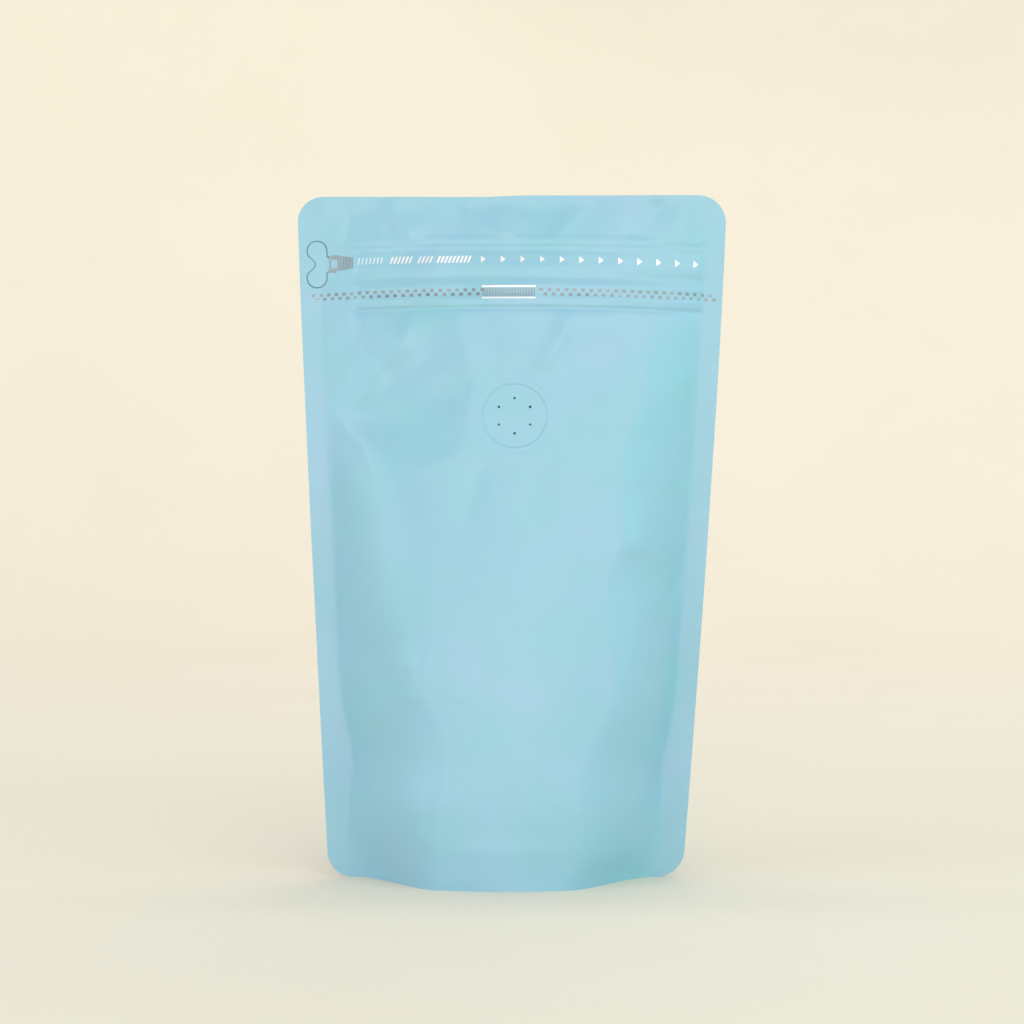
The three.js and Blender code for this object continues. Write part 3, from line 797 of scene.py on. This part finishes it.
def onValve(u, v, lift):  # from the valve's own plane to the pouch
    normal = Vector((-valveSlopeX, -1, -valveSlopeZ)).normalized()
    across = Vector((1, -valveSlopeX, 0)).normalized()
    upward = normal.cross(across)
    middle = Vector((valveForm["x"], -valveDepth, valveForm["z"]))
    return np.outer(u, across) + np.outer(v, upward) + np.outer(lift, normal) + np.array(middle)


def holePlaces():
    count = len(valveForm["holeRadii"])
    angles = 2 * math.pi * np.arange(count) / count  # clockwise from the top
    return valveForm["holeCircle"] * np.stack([np.sin(angles), np.cos(angles)], axis=1)


def discSurface(radii, segments, liftAt, under):  # a closed disc, its face lifted by liftAt(u, v)
    angles = np.linspace(0, 2 * math.pi, segments, endpoint=False)
    radius = np.concatenate([[0], np.repeat(radii, segments), np.repeat(radii[-1], segments), [0]])
    turn = np.concatenate([[0], np.tile(angles, len(radii) + 1), [0]])
    u, v = radius * np.cos(turn), radius * np.sin(turn)
    lift = liftAt(u, v)
    lift[-segments - 1:] = under
    rings = closedRings(len(radii) + 1, segments)
    faces = gridFaces(rings) + fanFaces(0, rings[0]) + fanFaces(len(radius) - 1, rings[-1], True)
    return onValve(u, v, lift), faces


def valveFaceLift(u, v):
    form = valveForm
    r = np.hypot(u, v)
    fromRing = r - form["ringRadius"]
    lift = form["proud"] - form["grooveDepth"] * bump(fromRing / form["grooveHalf"])
    lift -= form["recess"] * ease(form["recessSoft"], -form["recessSoft"], fromRing)
    for hu, hv in holePlaces():
        away = np.hypot(u - hu, v - hv)
        lip = form["lipHeight"] * bump((away - form["lipRadius"]) / form["lipHalf"])
        lift += lip - form["dipDepth"] * bump(away / form["dipHalf"])
    return lift - 2 * form["proud"] * ease(form["ringRadius"] + form["outerFrom"], form["discRadius"], r)


def makeValve():
    form = valveForm
    rings = np.concatenate([np.arange(*zone) for zone in valveMesh["rings"]])
    points, faces = discSurface(rings, valveMesh["segments"], valveFaceLift, -form["thickness"])
    face = meshObject("valve_face", points, faces, [filmMaterial, coreShadeMaterial])
    closeUp(face)
    holePoints, holeFaces = [], []
    cutTop, cutBottom = form["holeCut"]
    for radius, (hu, hv) in zip(form["holeRadii"], holePlaces()):
        points, faces = discSurface(np.array([radius]), valveMesh["holeSegments"],
                                    lambda u, v: np.full_like(u, cutTop), cutBottom)
        shift = onValve([hu], [hv], [0.0]) - onValve([0], [0], [0.0])
        holeFaces += [[i + len(holePoints) for i in quad] for quad in faces]
        holePoints += (points + shift).tolist()
    # the cutters leave the pinholes' walls in the dark colour of painted shade
    pins = meshObject("pins", holePoints, holeFaces, [filmMaterial, coreShadeMaterial], [1] * len(holeFaces))
    closeUp(pins)
    cutAway(face, pins)
    shadeSmooth(face, form["edgeAngle"])
    coreRings = np.array([*form["coreRings"], form["coreRadius"] - form["coreRim"], form["coreRadius"]])
    points, faces = discSurface(coreRings, valveMesh["coreSegments"],
                                lambda u, v: np.full_like(u, -form["coreFrom"]), -form["coreTo"])
    # a dark disc where the valve's core sits, painted shade seen through the pinholes
    core = meshObject("valve_core", points, faces, [coreShadeMaterial])
    closeUp(core)
    shadeSmooth(core, form["edgeAngle"])
    return face, core


valveFace, valveShadeDisc = makeValve()
print("valve made")


# The foil print: rows of thin chips laid on the film. A row steps from its first chip to the last, closes up
# a little towards the pouch's sides, and sinks there with the film. A chip can taper to the right, and slant.
checkRow = {"Count": 22, "Step": (2.637, 0), "Size": (1.12, 0.98), "Arch": 1.15, "Spread": 1.03}
linkLine = {"Step": (0, 0), "Size": (17.3, 0.55), "Facets": 18, "foilColourOrShade": "bright"}
wordRow = {"Step": (1.24, 0), "Size": (0.62, 2.3), "Arch": 1.35, "Slant": 1.5, "foilColourOrShade": "bright"}
tabRow = {"Step": (0.6, 0), "Count": 4}
foilRows = {
    "foil_checks_upper_left": {**checkRow, "Start": (-64.7, 190.45)},
    "foil_checks_lower_left": {**checkRow, "Start": (-63.4, 189.1), "Count": 21},
    "foil_checks_upper_right": {**checkRow, "Start": (9.14, 190.45)},
    "foil_checks_lower_right": {**checkRow, "Start": (10.44, 189.05)},
    "foil_arrows": {"Count": 12, "Start": (-9.1, 200.5), "Step": (6.25, 0), "Size": (1.5, 2.3), "Tip": 0.05,
                    "Arch": 1.35, "Spread": 1.02, "foilColourOrShade": "bright"},
    "foil_word_first": {**wordRow, "Start": (-49.7, 200.9), "Count": 7, "Size": (0.24, 2.1)},
    "foil_word_second": {**wordRow, "Start": (-39.0, 200.8), "Count": 6},
    "foil_word_third": {**wordRow, "Start": (-29.9, 200.7), "Count": 4},
    "foil_word_fourth": {**wordRow, "Start": (-23.7, 200.6), "Count": 9},
    "foil_link_top": {**linkLine, "Start": (-1.0, 191.5)},
    "foil_link_bottom": {**linkLine, "Start": (-1.0, 187.75)},
    "foil_link_hatch": {"Count": 34, "Start": (-9.3, 189.6), "Step": (0.5, 0), "Size": (0.2, 2.6)},
    "foil_tab_start": {**tabRow, "Start": (-60.35, 199.4), "Size": (0.42, 5.3), "Count": 3},
    "foil_tab_upper": {**tabRow, "Start": (-58.55, 201.65), "Size": (0.42, 1.5)},
    "foil_tab_lower": {**tabRow, "Start": (-58.55, 197.4), "Size": (0.42, 1.5), "Count": 3},
    "foil_tab_end": {**tabRow, "Start": (-56.6, 199.75), "Size": (0.42, 5.0), "Count": 9, "End Scale": 0.7},
}
foilCommon = {"Count": 1, "Facets": 4, "Arch": 0, "Spread": 1, "Half Width": 64, "Tip": 1, "Slant": 0,
              "End Scale": 1}
foilForm = {
    "thickness": 0.1, "chipRows": 8,
    "castFrom": -0.2, "castLength": 0.5,  # metres: rays from in front of the film find its face
}


def foilRowTree():
    tree = bpy.data.node_groups.new("foilRowOnFilm", "GeometryNodeTree")
    kinds = {"Geometry": "Geometry", "Film": "Object", "Material": "Material", "Count": "Int",
             "Facets": "Int", "Start": "Vector", "Step": "Vector", "Size": "Vector"}
    for name in {**kinds, **foilCommon}:
        tree.interface.new_socket(name, in_out="INPUT", socket_type="NodeSocket" + kinds.get(name, "Float"))
    tree.interface.new_socket("Geometry", in_out="OUTPUT", socket_type="NodeSocketGeometry")
    given = addNode(tree, "NodeGroupInput").outputs
    position = addNode(tree, "GeometryNodeInputPosition")
    at = addNode(tree, "ShaderNodeSeparateXYZ", {"Vector": position}).outputs

    # one chip of unit size, narrowed towards its tip and slanted
    chip = addNode(tree, "GeometryNodeMeshCube",
                   {"Size": (1, 1, 1), "Vertices X": given["Facets"], "Vertices Y": 2,
                    "Vertices Z": foilForm["chipRows"]})
    halfChip = 0.5
    taper = addNode(tree, "ShaderNodeMapRange",
                    {"Value": at["X"], "From Min": -halfChip, "From Max": halfChip, "To Min": 1.0,
                     "To Max": given["Tip"]})
    narrowed = addNode(tree, "ShaderNodeMath", {0: at["Z"], 1: taper}, operation="MULTIPLY")
    slanted = addNode(tree, "ShaderNodeMath", {0: at["Z"], 1: given["Slant"], 2: at["X"]},
                      operation="MULTIPLY_ADD")
    chipPlace = addNode(tree, "ShaderNodeCombineXYZ", {"X": slanted, "Y": at["Y"], "Z": narrowed})
    shaped = addNode(tree, "GeometryNodeSetPosition", {"Geometry": chip, "Position": chipPlace})

    # its copies along the row
    line = addNode(tree, "GeometryNodeMeshLine",
                   {"Count": given["Count"], "Start Location": given["Start"], "Offset": given["Step"]})
    index = addNode(tree, "GeometryNodeInputIndex")
    shrink = addNode(tree, "ShaderNodeMapRange",
                     {"Value": index, "From Max": given["Count"], "To Min": 1.0,
                      "To Max": given["End Scale"]})
    tall = addNode(tree, "ShaderNodeCombineXYZ", {"X": 1.0, "Y": 1.0, "Z": shrink})
    size = addNode(tree, "ShaderNodeVectorMath", {0: given["Size"], 1: tall}, operation="MULTIPLY")
    copies = addNode(tree, "GeometryNodeInstanceOnPoints",
                     {"Points": line, "Instance": shaped, "Scale": size})
    solid = addNode(tree, "GeometryNodeRealizeInstances", {"Geometry": copies})

    # the row closed up and sunk towards the sides, then laid on the film's face
    share = addNode(tree, "ShaderNodeMath", {0: at["X"], 1: given["Half Width"]}, operation="DIVIDE")
    square = addNode(tree, "ShaderNodeMath", {0: share, 1: 2.0}, operation="POWER")
    stretch = addNode(tree, "ShaderNodeMapRange", {"Value": square, "To Min": given["Spread"], "To Max": 1.0})
    x = addNode(tree, "ShaderNodeMath", {0: at["X"], 1: stretch}, operation="MULTIPLY")
    sink = addNode(tree, "ShaderNodeMath", {0: square, 1: given["Arch"]}, operation="MULTIPLY")
    z = addNode(tree, "ShaderNodeMath", {0: at["Z"], 1: sink}, operation="SUBTRACT")
    before = addNode(tree, "ShaderNodeCombineXYZ", {"X": x, "Y": foilForm["castFrom"], "Z": z})
    film = addNode(tree, "GeometryNodeObjectInfo", {"Object": given["Film"]}).outputs["Geometry"]
    hit = addNode(tree, "GeometryNodeRaycast",
                  {"Target Geometry": film, "Source Position": before,
                   "Ray Direction": (0, 1, 0), "Ray Length": foilForm["castLength"]})
    hitPlace = addNode(tree, "ShaderNodeSeparateXYZ", {"Vector": hit.outputs["Hit Position"]})
    y = addNode(tree, "ShaderNodeMath", {0: hitPlace.outputs["Y"], 1: at["Y"]}, operation="ADD")
    onFilm = addNode(tree, "ShaderNodeCombineXYZ", {"X": x, "Y": y, "Z": z})
    laid = addNode(tree, "GeometryNodeSetPosition", {"Geometry": solid, "Position": onFilm})
    finished = addNode(tree, "GeometryNodeSetMaterial", {"Geometry": laid, "Material": given["Material"]})
    addNode(tree, "NodeGroupOutput", {"Geometry": finished})
    return tree


def layFoil(name, tree, sizes):
    # rows that name no colour take the darker grey copy of the foil, which is painted shade
    material = foilMaterials[sizes.get("foilColourOrShade", "dull")]
    piece = meshObject(name, [(0, 0, 0)], [], [material])
    rows = piece.modifiers.new("rows", "NODES")
    rows.node_group = tree
    sockets = {item.name: item.identifier for item in tree.interface.items_tree if item.in_out == "INPUT"}
    for key in ("Start", "Step", "Size"):
        x, z = sizes[key]
        rows[sockets[key]] = (x * mm, foilForm["thickness"] * mm if key == "Size" else 0.0, z * mm)
    values = {**foilCommon, **sizes}
    for key in ("Arch", "Half Width"):
        rows[sockets[key]] = values[key] * mm
    for key in ("Spread", "Tip", "Slant", "End Scale"):
        rows[sockets[key]] = float(values[key])
    for key in ("Count", "Facets"):
        rows[sockets[key]] = values[key]
    rows[sockets["Film"]] = pouchFilm
    rows[sockets["Material"]] = material
    applyModifiers(piece)
    piece.data.materials.clear()
    piece.data.materials.append(material)
    piece.data.polygons.foreach_set("material_index", np.zeros(len(piece.data.polygons), np.int32))
    shadeSmooth(piece)
    return piece


foilTree = foilRowTree()
foilPieces = [layFoil(name, foilTree, sizes) for name, sizes in foilRows.items()]
print("foil print:", len(foilPieces), "rows laid")

finishPiece(pouchFilm, "film", "pouch")
finishPiece(pullTab, "film", "pull_tab")
finishPiece(valveFace, "valve_film", "valve")
finishPiece(valveShadeDisc, "valve_film")
for foilPiece in foilPieces:
    finishPiece(foilPiece, "foil_print")


# A pale studio sweep, soft boxes over and below the camera, at both sides and behind, and the camera itself.
stageForm = {  # in metres, as the lamps and the camera are
    "flat": 1.2, "bend": 0.9, "wall": 0.1, "segments": 96, "bendSteps": 20, "innerRings": (0.3, 0.7),
    "colour": "#ede2d0", "mottleColour": "#efe6d6", "mottleScale": 6.0, "roughness": 0.9,
}
lights = {
    "key": {"at": (0.35, -1.2, 0.9), "size": (1.2, 0.7), "power": 5, "colour": "#fff0ea",
            "aim": (0, 0, 0.11)},
    "fill": {"at": (0, -1.6, 0.17), "size": (2, 0.32), "power": 9, "colour": "#fff0f6",
             "aim": (0, 0, 0.06)},
    "left": {"at": (-1.45, -0.8, 0.5), "size": (1.2, 1), "power": 9, "colour": "#d2f2ff"},
    "right": {"at": (1.5, -0.75, 0.6), "size": (1.5, 1.1), "power": 9.4, "colour": "#96f8ff"},
    "rear": {"at": (0.5, 1.5, 1.3), "size": (1.6, 1), "power": 3},
    "backdrop": {"at": (0, 0.5, 1.9), "size": (2.4, 0.5), "power": 13.2, "aim": (0, 2.1, 0.3)},
}
lampCommon = {"colour": "#ffffff", "aim": (0, 0, 0.1)}
worldLight = {"colour": "#f6f6f8", "strength": 0.62}
cameraForm = {"at": (0, -0.750, 0.1188), "lens": 80.9, "sensor": 36, "clip": (0.01, 20)}


def makeSweep():
    # Seamless studio paper: chalky, with a faint mottle.
    form = stageForm
    material, tree, shader, place = newMaterial("paperSweep")
    mottle = addNode(tree, "ShaderNodeTexNoise", {"Vector": place, "Scale": form["mottleScale"]})
    tint = addNode(tree, "ShaderNodeMix",
                   {0: mottle, 6: toLinear(form["colour"]), 7: toLinear(form["mottleColour"])},
                   data_type="RGBA")
    setInputs(tree, shader, {"Base Color": tint.outputs[2], "Roughness": form["roughness"]})
    turn = np.linspace(0, math.pi / 2, form["bendSteps"])
    flat, bend, inner = form["flat"], form["bend"], form["innerRings"]
    radii = np.concatenate([inner, flat + bend * np.sin(turn), [flat + bend]])
    heights = np.concatenate([[0] * len(inner), bend * (1 - np.cos(turn)), [bend + form["wall"]]])
    angles = np.linspace(0, 2 * math.pi, form["segments"], endpoint=False)
    points = np.stack([np.outer(radii, np.cos(angles)), np.outer(radii, np.sin(angles)),
                       np.repeat(heights[:, None], len(angles), axis=1)], axis=-1).reshape(-1, 3) / mm
    rings = closedRings(len(radii), len(angles))
    faces = gridFaces(rings, True) + fanFaces(0, rings[0])
    sweep = meshObject("studio_sweep", np.vstack([[(0, 0, 0)], points]), faces, [material])
    sweep.data.shade_smooth()


def makeLights():
    for name, own in lights.items():
        form = {**lampCommon, **own}
        lamp = bpy.data.lights.new(name, "AREA")
        lamp.shape = "RECTANGLE"
        lamp.size, lamp.size_y = form["size"]
        lamp.energy = form["power"]
        lamp.color = toLinear(form["colour"])[:3]
        light = bpy.data.objects.new(name + "_light", lamp)
        light.location = form["at"]
        light.visible_camera = False
        light.rotation_euler = (Vector(form["aim"]) - light.location).to_track_quat("-Z", "Y").to_euler()
        bpy.context.scene.collection.objects.link(light)
    world = bpy.data.worlds.new("softRoom")
    world.use_nodes = True
    background = world.node_tree.nodes["Background"]
    background.inputs["Color"].default_value = toLinear(worldLight["colour"])
    background.inputs["Strength"].default_value = worldLight["strength"]
    bpy.context.scene.world = world
    bpy.context.scene.view_settings.view_transform = "Standard"


def makeCamera():
    data = bpy.data.cameras.new("camera")
    data.sensor_width = cameraForm["sensor"]
    data.lens = cameraForm["lens"]
    data.clip_start, data.clip_end = cameraForm["clip"]
    camera = bpy.data.objects.new("camera", data)
    camera.location = cameraForm["at"]
    camera.rotation_euler = (math.pi / 2, 0, 0)
    bpy.context.scene.collection.objects.link(camera)
    bpy.context.scene.camera = camera


makeSweep()
makeLights()
makeCamera()
print("stage, lights and camera set")

bpy.context.view_layer.update()
